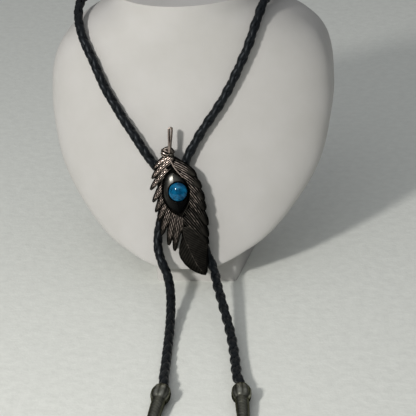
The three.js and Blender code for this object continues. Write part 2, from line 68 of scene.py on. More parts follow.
def camera_axes():
    level = Vector((cos(VIEW_RIGHT_OF_FRONT), sin(VIEW_RIGHT_OF_FRONT), 0))
    back = Vector((
        cos(VIEW_DOWN) * sin(VIEW_RIGHT_OF_FRONT),
        -cos(VIEW_DOWN) * cos(VIEW_RIGHT_OF_FRONT),
        sin(VIEW_DOWN),
    ))
    upright = back.cross(level)
    right = cos(VIEW_ROLL) * level - sin(VIEW_ROLL) * upright
    return right, back.cross(right), back


def added(name, data):
    """A new object in the scene."""
    made = bpy.data.objects.new(name, data)
    bpy.context.scene.collection.objects.link(made)
    return made


camera_data = bpy.data.cameras.new("photo_camera")
camera_data.sensor_width = 36
camera_data.lens = 36 * FOCAL_PIXELS / PHOTO_PIXELS
camera_data.clip_start, camera_data.clip_end = 0.05, 20
camera = added("photo_camera", camera_data)
camera.matrix_world = Matrix.Translation(CAMERA_PLACE) @ Matrix(camera_axes()).transposed().to_4x4()
bpy.context.scene.camera = camera
print("lens", round(camera_data.lens, 2), "mm")

# %% [markdown]
# ## Making surfaces from a grid
# Cast and braided shapes are curved everywhere, so no box or cylinder is close to them. A grid
# can follow any such surface: each of its points has a share of the way along (0 to 1) and a share of
# the way round (0 to 1), and a small function says where that point lies. Merging doubles then
# closes the seam where the last column meets the first.

# %% Surface helpers
MERGE_DISTANCE = 1e-3  # millimetres


def skin(bm, along, around, place):
    """A grid laid on a surface. place(t, u) gives a point, with t along and u round, both 0 to 1."""
    made = bmesh.ops.create_grid(bm, x_segments=around, y_segments=along, size=1)
    for vert in made["verts"]:
        vert.co = place((vert.co.y + 1) / 2, (vert.co.x + 1) / 2)
    return made["verts"]


def closed(bm, verts, distance=MERGE_DISTANCE):
    """Merges a skin's seam and poles, and caps what is still open."""
    bmesh.ops.remove_doubles(bm, verts=verts, dist=distance)
    rim = [edge for edge in bm.edges if edge.is_boundary]
    if rim:
        bmesh.ops.holes_fill(bm, edges=rim, sides=0)


# %% [markdown]
# ## Reading a table smoothly
# The measures of a cast shape are tables, such as the leaf's width at eight places. Straight lines
# between the rows would show as kinks in shiny metal, so a smooth curve is laid through them. Its
# slope at a row follows the rows on both sides and is level at a peak, so it never swings past one.

# %% Table helpers
def mix(a, b, share):
    return a + (b - a) * share


def smooth_step(share):
    share = min(max(share, 0), 1)
    return share * share * (3 - 2 * share)


def between(p0, m0, p1, m1, s):
    """The curve from p0 to p1 that leaves with slope m0 and arrives with slope m1, at share s."""
    return (
        (2 * s**3 - 3 * s**2 + 1) * p0
        + (s**3 - 2 * s**2 + s) * m0
        + (3 * s**2 - 2 * s**3) * p1
        + (s**3 - s**2) * m1
    )


def table(columns, *rows):
    """Rows of numbers whose columns have names."""
    return [dict(zip(columns.split(), row)) for row in rows]


def table_value(rows, key, at, name):
    """Reads one column of a table smoothly, at any value of the key column."""
    last = len(rows) - 1
    k = 0
    while k < last - 1 and rows[k + 1][key] < at:
        k += 1
    before, low, high, after = (rows[min(max(k + i, 0), last)] for i in (-1, 0, 1, 2))
    step = high[key] - low[key]

    def slope(a, b):
        return (b[name] - a[name]) / (b[key] - a[key]) if b[key] != a[key] else 0

    def tangent(left, here, right):
        first, second = slope(left, here), slope(here, right)
        if left is here or right is here:
            return slope(left, right)
        return 0 if first * second <= 0 else 2 * first * second / (first + second)

    s = min(max((at - low[key]) / step, 0), 1)
    m0, m1 = tangent(before, low, high) * step, tangent(low, high, after) * step
    return between(low[name], m0, high[name], m1, s)


# %% [markdown]
# ## Lines to sweep along
# The cord, the rods and the loop's arch are swept along a line. It is a spline through a few points,
# measured along its length, and it carries two directions square to it that never twist, so what is
# wound round it keeps its pitch.

# %% Line helpers
def spline(points, steps):
    """A smooth curve through the points, as the CAD model draws its cord."""
    points = [Vector(p) for p in points]
    ends = [2 * points[0] - points[1], *points, 2 * points[-1] - points[-2]]
    curve = []
    for p0, p1, p2, p3 in zip(ends, ends[1:], ends[2:], ends[3:]):
        d1, d2, d3 = ((b - a).length ** 0.5 or 1e-6 for a, b in ((p0, p1), (p1, p2), (p2, p3)))
        m1 = ((p1 - p0) / d1 - (p2 - p0) / (d1 + d2) + (p2 - p1) / d2) * d2
        m2 = ((p2 - p1) / d2 - (p3 - p1) / (d2 + d3) + (p3 - p2) / d3) * d2
        curve += [between(p1, m1, p2, m2, i / steps) for i in range(steps)]
    return [*curve, points[-1]]


class Path:
    """A line with its length, and a frame that goes along it without twisting."""

    def __init__(self, points):
        self.points = points
        self.travelled = [0.0]
        for a, b in zip(points, points[1:]):
            self.travelled.append(self.travelled[-1] + (b - a).length)
        self.length = self.travelled[-1]
        last = len(points) - 1
        self.tangents = [
            (points[min(i + 1, last)] - points[max(i - 1, 0)]).normalized() for i in range(last + 1)
        ]
        side = self.tangents[0].orthogonal().normalized()
        self.sides = []
        for tangent in self.tangents:
            side = (side - tangent * side.dot(tangent)).normalized()
            self.sides.append(side)

    def at(self, travelled):
        """Centre, direction, and two directions square to it, at a length along the path."""
        travelled = min(max(travelled, 0), self.length)
        high = min(bisect_right(self.travelled, travelled), len(self.travelled) - 1)
        low = high - 1
        share = (travelled - self.travelled[low]) / (self.travelled[high] - self.travelled[low])
        centre = self.points[low].lerp(self.points[high], share)
        tangent = self.tangents[low].lerp(self.tangents[high], share).normalized()
        side = self.sides[low].lerp(self.sides[high], share)
        side = (side - tangent * side.dot(tangent)).normalized()
        return centre, tangent, side, tangent.cross(side)


# %% [markdown]
# ## Turning a bmesh into a piece
# Every piece is finished the same way: scale it to metres, put it in its place in the mesh itself
# so that its object stays at the origin, turn its faces outwards, shade it smooth except across
# sharp creases, and say what it rides on. A rub number on each point, 0 in the hollows and 1 on
# the crests, tells the metal finishes where polishing reached. On the eye's dome the same number
# is painted light instead, and on the tips it also holds painted shade on the side that faces the
# table. A skin of this kind gets the number from its surface.

# %% Piece helpers
def rub_and_light_layer(bm):
    return bm.verts.layers.float.get("rub_and_light") or bm.verts.layers.float.new("rub_and_light")


def rubbed_and_shaded_skin(bm, layer, along, around, surface):
    """A skin whose surface(t, u) gives a point and its rub value, which on the tips also holds painted
    shade.
    """
    made = bmesh.ops.create_grid(bm, x_segments=around, y_segments=along, size=1)
    for vert in made["verts"]:
        vert.co, vert[layer] = surface((vert.co.y + 1) / 2, (vert.co.x + 1) / 2)
    return made["verts"]


def piece(bm, name, material, replaced=(), place=Matrix.Identity(4), crease=40):
    bmesh.ops.transform(bm, matrix=place, verts=bm.verts)
    bmesh.ops.scale(bm, vec=Vector((MM, MM, MM)), verts=bm.verts)
    bmesh.ops.recalc_face_normals(bm, faces=bm.faces)
    for face in bm.faces:
        face.smooth = True
    open_edges = sum(not edge.is_manifold for edge in bm.edges)
    mesh = bpy.data.meshes.new(name)
    bm.to_mesh(mesh)
    bm.free()
    mesh.set_sharp_from_angle(angle=math.radians(crease))
    mesh.materials.append(material)
    made = added(name, mesh)
    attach(made, "root")
    if replaced:
        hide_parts(*replaced)
    print(name, len(mesh.polygons), "faces,", open_edges, "open edges")
    return made


# %% [markdown]
# ## Material helpers
# Colours are written as the sRGB hex values that a colour picker gives, and one function turns
# them to the linear numbers that shaders work in. Patterns read Object coordinates in metres, so a
# pattern's scale is simply the number of its features in a metre.

# %% Material helpers
def srgb(hex_value):
    channels = [int(hex_value[i : i + 2], 16) / 255 for i in (0, 2, 4)]
    linear = [c / 12.92 if c <= 0.04045 else ((c + 0.055) / 1.055) ** 2.4 for c in channels]
    return (*linear, 1)


def node(tree, kind, links=None, **settings):
    """Adds a node. links goes from its input's name to another node's output."""
    made = tree.nodes.new(kind)
    for name, value in settings.items():
        if name in made.bl_rna.properties:
            setattr(made, name, value)
        else:
            made.inputs[name.replace("_", " ")].default_value = value
    for name, source in (links or {}).items():
        tree.links.new(source, made.inputs[name])
    return made


def material(name, **settings):
    """A new material and its node tree and shader. Settings are the shader's own constant values."""
    made = bpy.data.materials.new(name)
    made.use_nodes = True
    shader = made.node_tree.nodes["Principled BSDF"]
    for key, value in settings.items():
        shader.inputs[key.replace("_", " ")].default_value = value
    return made, made.node_tree, shader


def feed(tree, shader, **sources):
    """Links colours and values to the shader's inputs."""
    for key, source in sources.items():
        tree.links.new(source, shader.inputs[key.replace("_", " ")])


def ramp(tree, source, *stops):
    """A colour ramp with (place, hex) stops, driven by a 0 to 1 value."""
    made = node(tree, "ShaderNodeValToRGB", {"Fac": source})
    elements = made.color_ramp.elements
    while len(elements) < len(stops):
        elements.new(0.5)
    for element, (place, colour) in zip(elements, stops):
        element.position = place
        element.color = srgb(colour)
    return made.outputs["Color"]


def scaled(tree, source, low, high, start=0.0, end=1.0):
    made = node(tree, "ShaderNodeMapRange", {"Value": source}, clamp=True)
    for name, value in (("From Min", start), ("From Max", end), ("To Min", low), ("To Max", high)):
        made.inputs[name].default_value = value
    return made.outputs["Result"]


def grain(tree, size_mm, detail=4.0, roughness=0.55):
    """Fractal noise whose largest features are size_mm across."""
    place = node(tree, "ShaderNodeTexCoord").outputs["Object"]
    made = node(
        tree, "ShaderNodeTexNoise", {"Vector": place},
        Scale=1 / (size_mm * MM), Detail=detail, Roughness=roughness,
    )
    return made.outputs["Fac"]


def bump(tree, shader, height, depth_mm, strength=1.0):
    made = node(tree, "ShaderNodeBump", {"Height": height}, Strength=strength, Distance=depth_mm * MM)
    feed(tree, shader, Normal=made.outputs["Normal"])


# %% [markdown]
# ## The cord's leather
# Bolo cord is split cowhide lace, dyed black right through, waxed and braided. Wax on black
# leather reflects a soft, slightly blue light from the window or lamp and keeps its pores, so the
# finish is a dark base, a middling roughness that varies with the pores, and a shallow bump. Pores
# are about 0.3 mm apart, which is finer than a pixel here, so they are drawn twice as coarse.

# %% Black braided leather
black_leather, tree, shader = material(
    "dyed_black_leather", Metallic=0.0, IOR=1.48, Specular_IOR_Level=0.3, Specular_Tint=srgb("dfe8f0"),
)
pores = grain(tree, 0.6, detail=3)
dye = ramp(tree, pores, (0.3, "050709"), (0.55, "0a0d10"), (0.8, "171c20"))
feed(tree, shader, Base_Color=dye, Roughness=scaled(tree, pores, 0.36, 0.54, 0.3, 0.7))
bump(tree, shader, pores, 0.06, 0.6)

# %% [markdown]
# ## The cord's way
# The cord is one length: from the left tip it comes up over the floor and the chest, through the
# clasp behind the slide, round the back of the neck, and down again to the right tip. The points
# repeat those of the CAD model, and a spline through them is the line that the braid follows.

# %% Cord route
CORD_DIAMETER = 4.8
CORD_ROUTE = [
    (1.91, -158.3, 5.04), (2.12, -150.62, 5.57), (0.9, -144, 5), (-0.7, -131, 3.2),
    (-2.4, -116, 2.6), (-3.9, -101, 3.1), (-5.3, -87, 4.9), (-6.9, -74, 7.8), (-8.9, -62.5, 12.2),
    (-11.7, -54, 16.4), (-15.4, -47.3, 20.3), (-17.7, -42.4, 25.4), (-17.9, -38.5, 32),
    (-16.5, -35.6, 39), (-13.8, -31.6, 50.2), (-13.8, -30.2, 54.5), (-13.8, -29.1, 58),
    (-14.4, -27.9, 61.5), (-16.3, -26.9, 64.9), (-19, -25.9, 68), (-22.3, -24.5, 71.8),
    (-26.6, -22.4, 78), (-31.5, -19.3, 84.8), (-36.9, -15.2, 91.5), (-41.8, -11.8, 98.8),
    (-46.4, -8.8, 106.1), (-50, -5.9, 113.6), (-53.5, -2.5, 120.9), (-57.8, 2.3, 128.2),
    (-61.4, 9, 135.1), (-63.9, 19, 140.5), (-64.6, 32, 143.4), (-62.4, 46, 143),
    (-57.3, 59.2, 138.6), (-47.2, 70.2, 133.6), (-29, 74.6, 128.4), (-4, 75.5, 126.5),
    (18.5, 75, 130), (34.5, 69.4, 137), (43.8, 57.5, 142.8), (45.6, 42, 146), (43.6, 27, 147.6),
    (40.4, 13, 147.2), (38.2, 5.4, 142), (35.8, -0.9, 136), (33.3, -4.9, 129.2),
    (29.9, -7.6, 121.9), (26.2, -9.9, 114.5), (22.2, -12, 107), (17.6, -14.6, 99.5),
    (12.2, -17.5, 92.2), (6.9, -20.1, 85), (2.8, -22.4, 78.6), (-0.9, -24.9, 72.3),
    (-3, -26.7, 66.2), (-3.3, -28.7, 59.2), (-3.3, -30.2, 54.5), (-3.3, -31.8, 49.7),
    (-1.8, -33.5, 43), (1.9, -35.8, 35.5), (6.6, -39.1, 26), (10.5, -42.2, 18.4),
    (13.3, -47.8, 14.5), (15.9, -58, 13.1), (19.6, -70.4, 11.3), (22.9, -81.2, 9.2),
    (26.3, -92.2, 7.2), (29.5, -104.1, 5.6), (32.3, -116.3, 4.8), (34.9, -129.4, 4.8),
    (37.3, -142, 5.5), (39.75, -148.33, 5.57), (41.05, -155.91, 5.04),
]
cord_path = Path(spline(CORD_ROUTE, 12))
print("cord", round(cord_path.length, 1), "mm")

# %% [markdown]
# ## The braid
# A four-strand round braid has two laces that wind to the right and two that wind to the left, and
# each passes over one and under the next. So a lace's radius swings out and in twice a turn, the
# right-hand laces being out where the left-hand ones are in. Each lace is a flat strip bent round
# the cord, rolled from a grid. A curve with a bevel can't be flat and wrapped at once, which is
# why the grid is used. A dark round core closes the small holes between the laces.

# %% Braided cord
BRAID_TURN = 19  # length in which a lace goes once round
LACE_WIDTH = 4.1
LACE_HALF_THICKNESS = 0.58
LACE_RADIUS = 1.71  # of a lace's middle from the cord's
LACE_FLATNESS = 0.15  # how much fuller than an ellipse its section is
LACE_DROOP = 0.05  # of its edges towards the core
OVER_UNDER = 0.3  # how far a lace swings out and in
CORE_RADIUS = 1.3
LACE_STEPS = int(cord_path.length / 0.72)
LACE_ROUND = 12
CORE_STEPS = 400
CORE_ROUND = 8


def lace_point(hand, phase):
    """Gives place(t, u) for one lace of the braid."""
    slant = math.atan2(2 * pi * LACE_RADIUS, BRAID_TURN)

    def place(t, u):
        travelled = t * cord_path.length
        turn = hand * 2 * pi * travelled / BRAID_TURN + phase
        swing = hand * cos(4 * pi * travelled / BRAID_TURN)
        radius = LACE_RADIUS + OVER_UNDER * swing
        angle = 2 * pi * u
        across = LACE_WIDTH / 2 * cos(angle)
        fuller = 1 + LACE_FLATNESS - LACE_FLATNESS * cos(2 * angle)
        out = LACE_HALF_THICKNESS * sin(angle) * fuller
        centre, tangent, side, other = cord_path.at(travelled)
        turned = turn + across * cos(slant) / LACE_RADIUS
        reach = radius + out - LACE_DROOP * cos(angle) ** 2
        spoke = side * cos(turned) + other * sin(turned)
        return centre + spoke * reach - tangent * (hand * across * sin(slant))

    return place


braid = bmesh.new()
for hand in (1, -1):
    for phase in (0, pi):
        closed(braid, skin(braid, LACE_STEPS, LACE_ROUND, lace_point(hand, phase)))


def core_point(t, u):
    centre, tangent, side, other = cord_path.at(t * cord_path.length)
    angle = 2 * pi * u
    return centre + (side * cos(angle) + other * sin(angle)) * CORE_RADIUS


closed(braid, skin(braid, CORE_STEPS, CORE_ROUND, core_point))
cord = piece(braid, "cord_braid", black_leather, ["braided_cord"], crease=60)

# %% [markdown]
# ## The metals
# The slide and the tips are cast pewter, dipped in a dark antiquing bath and then rubbed, so the
# hollows stay nearly black and the crests come back bright with a warm tint. The rub value of each
# piece mixes the colours, and a cloudy grain breaks the change up. On the tips that value also holds
# painted shade on the side that faces the table. Cast metal keeps a skin of pits,
# drawn coarser here so that they show. The tips are rubbed more evenly and stay cooler. The eye is
# the same metal, polished smooth and dark like gunmetal, with painted light in its colour: lighter
# at the upper left, where the lamp falls, and darker at the lower right.

# %% Antiqued and polished pewter
def antiqued(name, dark, middle, bright, rough_low, rough_high):
    made, tree, shader = material(name, Metallic=1.0, Specular_Tint=srgb("8f8f88"))
    rub_and_light = node(tree, "ShaderNodeAttribute", attribute_name="rub_and_light").outputs["Fac"]
    cloud = scaled(tree, grain(tree, 2.4, detail=3, roughness=0.5), 0.82, 1.18, 0.3, 0.7)
    # On the tips this value also holds painted shade on the side that faces the table.
    worn_and_shaded = node(tree, "ShaderNodeMath", {0: rub_and_light, 1: cloud}, operation="MULTIPLY").outputs["Value"]
    colour = ramp(tree, worn_and_shaded, (0.12, dark), (0.5, middle), (0.92, bright))
    feed(tree, shader, Base_Color=colour, Roughness=scaled(tree, worn_and_shaded, rough_high, rough_low))
    bump(tree, shader, grain(tree, 0.5, detail=3), 0.05, 0.5)
    return made


antique_pewter = antiqued("antiqued_cast_pewter", "090908", "46433e", "ecd8cc", 0.24, 0.5)
dark_pewter = antiqued("dark_antiqued_pewter", "2a2a25", "7f7f74", "d2d1c5", 0.2, 0.36)

# Painted light: the dome's colour is lighter at the upper left, where the lamp falls, and darker at the
# lower right.
polished_pewter_painted_light, tree, shader = material("polished_gunmetal_painted_light", Metallic=1.0)
smudges = grain(tree, 3.0, detail=3)
dome_painted_light_value = node(tree, "ShaderNodeAttribute", attribute_name="rub_and_light").outputs["Fac"]
gunmetal = ramp(tree, dome_painted_light_value, (0.0, "0c0c0d"), (0.5, "2a2a29"), (1.0, "585753"))
feed(tree, shader, Base_Color=gunmetal, Roughness=scaled(tree, smudges, 0.25, 0.33, 0.35, 0.7))

# %% [markdown]
# ## The slide's own flat frame
# The slide is drawn flat, as its maker would: x to the right, y up the quill and z out of the
# chest, from the stone's middle. One matrix then leans it with the chest and turns it the few degrees
# that the quill leans to the left. Points are shares of the feather's width and length.

# %% Slide frame
SLIDE_PLACE = Vector((-5.1, -33.762, 56.234))
SLIDE_LEAN = math.radians(72.015)
SLIDE_TILT = math.radians(9.5)
slide_turn = Matrix.Rotation(SLIDE_LEAN, 4, "X") @ Matrix.Rotation(SLIDE_TILT, 4, "Z")
slide_place = Matrix.Translation(SLIDE_PLACE) @ slide_turn
FEATHER_LENGTH = 71
FEATHER_WIDTH = 28
PLATE_THICKNESS = 1.8
VANE_HEIGHT = 3.4
QUILL_RADIUS = 0.95
QUILL_HEIGHT = 3.3
EYE_WIDTH = 15.4
EYE_LENGTH = 25.8


def on_feather(x, y, z=0.0):
    return Vector((x * FEATHER_WIDTH, y * FEATHER_LENGTH, z))


casting = bmesh.new()
rub_and_light = rub_and_light_layer(casting)

# %% [markdown]
# ## The plate
# Behind the barbs the casting is one flat plate, which shows as a dark ground between them. The
# lobes hide its edge, so its outline is a plain polygon, filled as one face and extruded.

# %% Plate
PLATE_RUB = 0.12
PLATE_LEFT = [
    (-0.16, 0.29), (-0.28, 0.23), (-0.36, 0.155), (-0.38, 0.085), (-0.39, 0.02), (-0.385, -0.05),
    (-0.38, -0.12), (-0.37, -0.19), (-0.35, -0.25), (-0.31, -0.29), (-0.25, -0.33), (-0.2, -0.35),
    (-0.15, -0.325), (-0.1, -0.31),
]
LEAF_LEFT = [
    (-0.07, -0.29), (-0.12, -0.36), (-0.19, -0.415), (-0.225, -0.465), (-0.215, -0.505), (-0.15, -0.56),
    (-0.07, -0.6), (0.035, -0.634), (0.14, -0.658), (0.215, -0.667),
]
PLATE_RIGHT = [
    (0.255, -0.645), (0.295, -0.575), (0.345, -0.485), (0.375, -0.415), (0.37, -0.34), (0.36, -0.22),
    (0.38, -0.13), (0.42, 0.0), (0.39, 0.1), (0.305, 0.17), (0.17, 0.22), (0.045, 0.265),
]


def extruded(bm, outline, low, high):
    """A flat outline filled as one face and pulled up into a solid."""
    corners = [bm.verts.new((p.x, p.y, low)) for p in outline]
    bottom = bm.faces.new(corners)
    grown = bmesh.ops.extrude_face_region(bm, geom=[bottom], use_keep_orig=True)
    lifted = [item for item in grown["geom"] if isinstance(item, bmesh.types.BMVert)]
    bmesh.ops.translate(bm, vec=Vector((0, 0, high - low)), verts=lifted)
    return corners + lifted


plate_outline = [on_feather(*p) for p in (*PLATE_LEFT, *LEAF_LEFT, *PLATE_RIGHT)]
for vert in extruded(casting, plate_outline, 0, PLATE_THICKNESS):
    vert[rub_and_light] = PLATE_RUB
print("plate outline", len(plate_outline), "points")

# %% [markdown]
# ## The eye's outline
# The eye is an almond with a point at the top and at the bottom. Two splines give it, and a small test
# tells whether a point lies inside it, because no barb may reach into the eye.

# %% Eye outline
EYE_CENTRE = (-0.055, -0.007)
EYE_LEFT = [
    (0.01, 0.5), (-0.2, 0.44), (-0.37, 0.3), (-0.47, 0.12),
    (-0.5, -0.06), (-0.44, -0.2), (-0.33, -0.34), (0, -0.5),
]
EYE_RIGHT = [
    (0, -0.5), (0.3, -0.32), (0.44, -0.17), (0.5, 0.04), (0.45, 0.2), (0.33, 0.32), (0.01, 0.5),
]
eye_middle = on_feather(*EYE_CENTRE)
eye_line = [
    Vector((x * EYE_WIDTH, y * EYE_LENGTH, 0))
    for side in (EYE_LEFT, EYE_RIGHT)
    for x, y, _ in spline([(*q, 0) for q in side], 8)[:-1]
]


def in_eye(point):
    """Whether a point of the flat frame lies inside the eye."""
    x, y = point.x - eye_middle.x, point.y - eye_middle.y
    inside = False
    for a, b in zip(eye_line, eye_line[1:] + eye_line[:1]):
        if (a.y > y) != (b.y > y) and x < a.x + (y - a.y) * (b.x - a.x) / (b.y - a.y):
            inside = not inside
    return inside


# %% [markdown]
# ## The barbs
# Each lobe of a feather is a bundle of fine barbs that lie side by side. In the mould they were cut
# as parallel grooves across a crowned finger, and again across those, which gives the broken
# glints. Each lobe is a grid that follows its own curve from the quill to its tip. The tables say
# where each lobe starts, bends and ends, how wide it is, and how it narrows along its length.

# %% Barb tables
BARB_WIDTH = 5.4
BARB_EDGE_HEIGHT = 2.2
LEFT_BARBS = [
    ((-0.04, 0.272), (-0.28, 0.252), (-0.426, 0.191), 0.7),
    ((-0.03, 0.25), (-0.305, 0.2), (-0.486, 0.125), 0.85),
    ((-0.12, 0.185), (-0.387, 0.115), (-0.554, 0.043), 0.8),
    ((-0.22, 0.09), (-0.419, 0.014), (-0.55, -0.052), 0.8),
    ((-0.27, 0.01), (-0.427, -0.067), (-0.533, -0.131), 0.74),
    ((-0.25, -0.05), (-0.413, -0.138), (-0.522, -0.203), 0.76),
    ((-0.216, -0.11), (-0.38, -0.205), (-0.497, -0.31), 0.95),
    ((-0.144, -0.15), (-0.297, -0.27), (-0.402, -0.4), 0.95),
    ((-0.076, -0.175), (-0.213, -0.315), (-0.306, -0.45), 0.95),
    ((-0.03, -0.19), (-0.08, -0.262), (-0.13, -0.325), 0.75),
]
RIGHT_BARBS = [
    ((0.0, 0.22), (0.18, 0.178), (0.385, 0.092), 0.95),
    ((0.09, 0.14), (0.27, 0.085), (0.443, -0.007), 1),
    ((0.185, 0.07), (0.32, 0.0), (0.45, -0.1), 1),
    ((0.225, 0.0), (0.34, -0.08), (0.435, -0.178), 1),
    ((0.195, -0.07), (0.32, -0.155), (0.428, -0.296), 1),
    ((0.105, -0.135), (0.27, -0.24), (0.393, -0.385), 1.1),
    ((0.005, -0.19), (0.195, -0.295), (0.375, -0.437), 1.1),
]
LEFT_STATIONS = table(
    "at wide high",
    (0, 1, 1), (0.35, 0.98, 0.95), (0.6, 0.76, 0.85),
    (0.82, 0.56, 0.75), (0.94, 0.36, 0.66), (1, 0.1, 0.6),
)
RIGHT_STATIONS = table(
    "at wide high",
    (0, 1, 1), (0.35, 1.04, 0.92), (0.6, 0.96, 0.78),
    (0.82, 0.76, 0.7), (0.95, 0.4, 0.63), (1, 0.1, 0.58),
)
print("barbs", len(LEFT_BARBS), "left,", len(RIGHT_BARBS), "right")

# %% [markdown]
# ## A lobe's relief
# Across a lobe the height has a crown and five ridges, and the ridges have small notches. Towards
# the tip and the side walls the ridges fade out. The left vane is cut deeper and rubbed brighter
# than the right, and each vane gets duller from the top lobe to the lowest.

# %% Barbs
RIDGES = 5  # along each lobe
WALL_SHARE = 0.1  # of the way round, for each side wall
CROWN_DROP = 0.42  # loss of height towards the sides
SMOOTH_RUB = 0.38  # where a lobe has no ridges
BARB_STEP = 0.3
LEFT_VANE = {
    "stations": LEFT_STATIONS, "ridge_depth": 0.55, "ridge_end": 0.97, "notch_pitch": 2.6,
    "notch_depth": 0.09, "lap": 0.12, "top_rub": 0.95, "low_rub": 0.68,
}
RIGHT_VANE = {
    "stations": RIGHT_STATIONS, "ridge_depth": 0.45, "ridge_end": 0.8, "notch_pitch": 5.0,
    "notch_depth": 0.05, "lap": -0.1, "top_rub": 0.84, "low_rub": 0.5,
}


def barb(root, bend, tip, wide, vane, bright):
    root, bend, tip = (on_feather(*p) for p in (root, bend, tip))
    length = (bend - root).length + (tip - bend).length

    def surface(t, u):
        centre = root * (1 - t) ** 2 + bend * 2 * t * (1 - t) + tip * t**2
        ahead = (bend - root) * (1 - t) + (tip - bend) * t
        sideways = Vector((-ahead.y, ahead.x, 0)).normalized()
        half = table_value(vane["stations"], "at", t, "wide") * wide * BARB_WIDTH / 2
        high = table_value(vane["stations"], "at", t, "high")
        top = mix(BARB_EDGE_HEIGHT, VANE_HEIGHT, high * 2 - 1)
        wall = min(u, 1 - u) / WALL_SHARE
        across = min(max((u - WALL_SHARE) / (1 - 2 * WALL_SHARE), 0), 1) * 2 - 1
        crown = 1 - CROWN_DROP * abs(across) ** 2.4 + vane["lap"] * across
        ridge = 1 - (0.5 - 0.5 * cos(pi * RIDGES * across)) ** 2.2
        row = round(RIDGES * across / 2)
        notch = 0.5 + 0.5 * cos(2 * pi * (t * length / vane["notch_pitch"] + 0.5 * row))
        fade = smooth_step((vane["ridge_end"] - t) * 3.5) * smooth_step((1 - abs(across)) * 5)
        cut = vane["ridge_depth"] * (1 - ridge) + vane["notch_depth"] * (1 - notch) * ridge
        level = top * crown - cut * fade
        level *= smooth_step(wall) if wall < 1 else 1
        level *= smooth_step(t * 25) * smooth_step((1 - t) * 30)
        point = centre + sideways * (across * half)
        if in_eye(point):
            level = min(level, PLATE_THICKNESS - 0.4)  # hidden in the plate
        point.z = level
        glint = mix(SMOOTH_RUB, 0.02 + 0.98 * ridge**2 * (0.8 + 0.2 * notch), fade)
        return point, bright * crown * glint

    closed(casting, rubbed_and_shaded_skin(casting, rub_and_light, int(length / BARB_STEP), RIDGES * 8 + 6, surface))


for barbs, vane in ((LEFT_BARBS, LEFT_VANE), (RIGHT_BARBS, RIGHT_VANE)):
    for k, row in enumerate(barbs):
        barb(*row, vane, mix(vane["top_rub"], vane["low_rub"], k / len(barbs)))
print("casting so far", len(casting.faces), "faces")

# %% [markdown]
# ## Quill and rim
# The quill is a raised rib that comes down from the wrap, passes the eye on its right and goes on as
# the leaf's spine. A second rib rims the eye on the left. All are round rods that taper, swept along a
# spline. The quill's top stands highest, so it is rubbed most.

# %% Quill and rim
QUILL_POINTS = [
    (-0.055, 0.27), (-0.01, 0.2), (0.045, 0.154), (0.14, 0.097), (0.2, 0.05), (0.225, 0.0),
    (0.21, -0.05), (0.157, -0.1), (0.08, -0.145), (0.0, -0.18), (-0.05, -0.22), (-0.055, -0.27),
    (-0.043, -0.36), (-0.007, -0.425), (0.04, -0.505), (0.095, -0.576), (0.165, -0.63),
]
ROD_ROUND = 12
ROD_STEP = 0.45


def rod(bm, points, radius, wear_and_shade):
    """A round rod along the points. radius(t) is its radius, and its ends are drawn in to points."""
    path = Path(spline(points, 10))

    def place(t, u):
        centre, tangent, side, other = path.at(t * path.length)
        full = radius(t)
        from_end = min(min(t, 1 - t) * path.length / full, 1)
        size = full * math.sqrt(max(0, 1 - (1 - from_end) ** 2))
        angle = 2 * pi * u
        return centre + (side * cos(angle) + other * sin(angle)) * size

    verts = skin(bm, max(int(path.length / ROD_STEP), 8), ROD_ROUND, place)
    for vert in verts:
        vert[rub_and_light] = wear_and_shade
    closed(bm, verts)


quill_level = QUILL_HEIGHT - QUILL_RADIUS
quill_top = [on_feather(*p, quill_level + 0.35) for p in QUILL_POINTS[:4]]
quill_run = [on_feather(*p, quill_level + 0.2) for p in QUILL_POINTS[2:12]]
rim_line = [
    eye_middle + Vector((x * EYE_WIDTH * 1.06, y * EYE_LENGTH * 1.04, quill_level)) for x, y in EYE_LEFT
]
rod(casting, quill_top, lambda t: 0.5 - 0.2 * t, wear_and_shade=0.85)
rod(casting, quill_run, lambda t: 0.32 - 0.06 * t, wear_and_shade=0.28)
rod(casting, rim_line, lambda t: 0.45, wear_and_shade=0.3)
print("with quill and rim", len(casting.faces), "faces")

# %% [markdown]
# ## The leaf
# Below the eye the casting ends in one smooth leaf, turned to the right, with a spine and fine
# slanting veins. It is a grid between the leaf's two edges. Its height has a ridge on the spine, and
# the veins are low ribs that run out and down from it, rubbed a little brighter, as its edge is.

# %% Leaf
LEAF_HEIGHT = 3.1
LEAF_EDGE = 0.55
LEAF_WALL = 0.06
LEAF_RUB = 0.17
VEIN_RUB = 0.13  # more than the leaf
LEAF_EDGE_RUB = 0.22  # more than the leaf
LEAF_ROWS = table(
    "y spine left right high",
    (0.27, -0.05, -0.06, 0.36, 0.95), (0.36, -0.043, -0.12, 0.37, 1),
    (0.425, -0.007, -0.195, 0.37, 1), (0.48, 0.025, -0.225, 0.345, 0.97),
    (0.54, 0.065, -0.175, 0.31, 0.92), (0.59, 0.105, -0.09, 0.285, 0.86),
    (0.635, 0.16, 0.05, 0.26, 0.8), (0.662, 0.21, 0.19, 0.225, 0.72),
)
VEIN_PITCH = 1.7
VEIN_SLANT = 0.9
VEIN_HEIGHT = 0.12


def vein_share(x, y, spine):
    """1 on a vein and 0 between two. Veins run out from the spine and down."""
    along = y * FEATHER_LENGTH - abs(x - spine) * FEATHER_WIDTH * VEIN_SLANT
    return (0.5 + 0.5 * cos(2 * pi * along / VEIN_PITCH)) ** 3


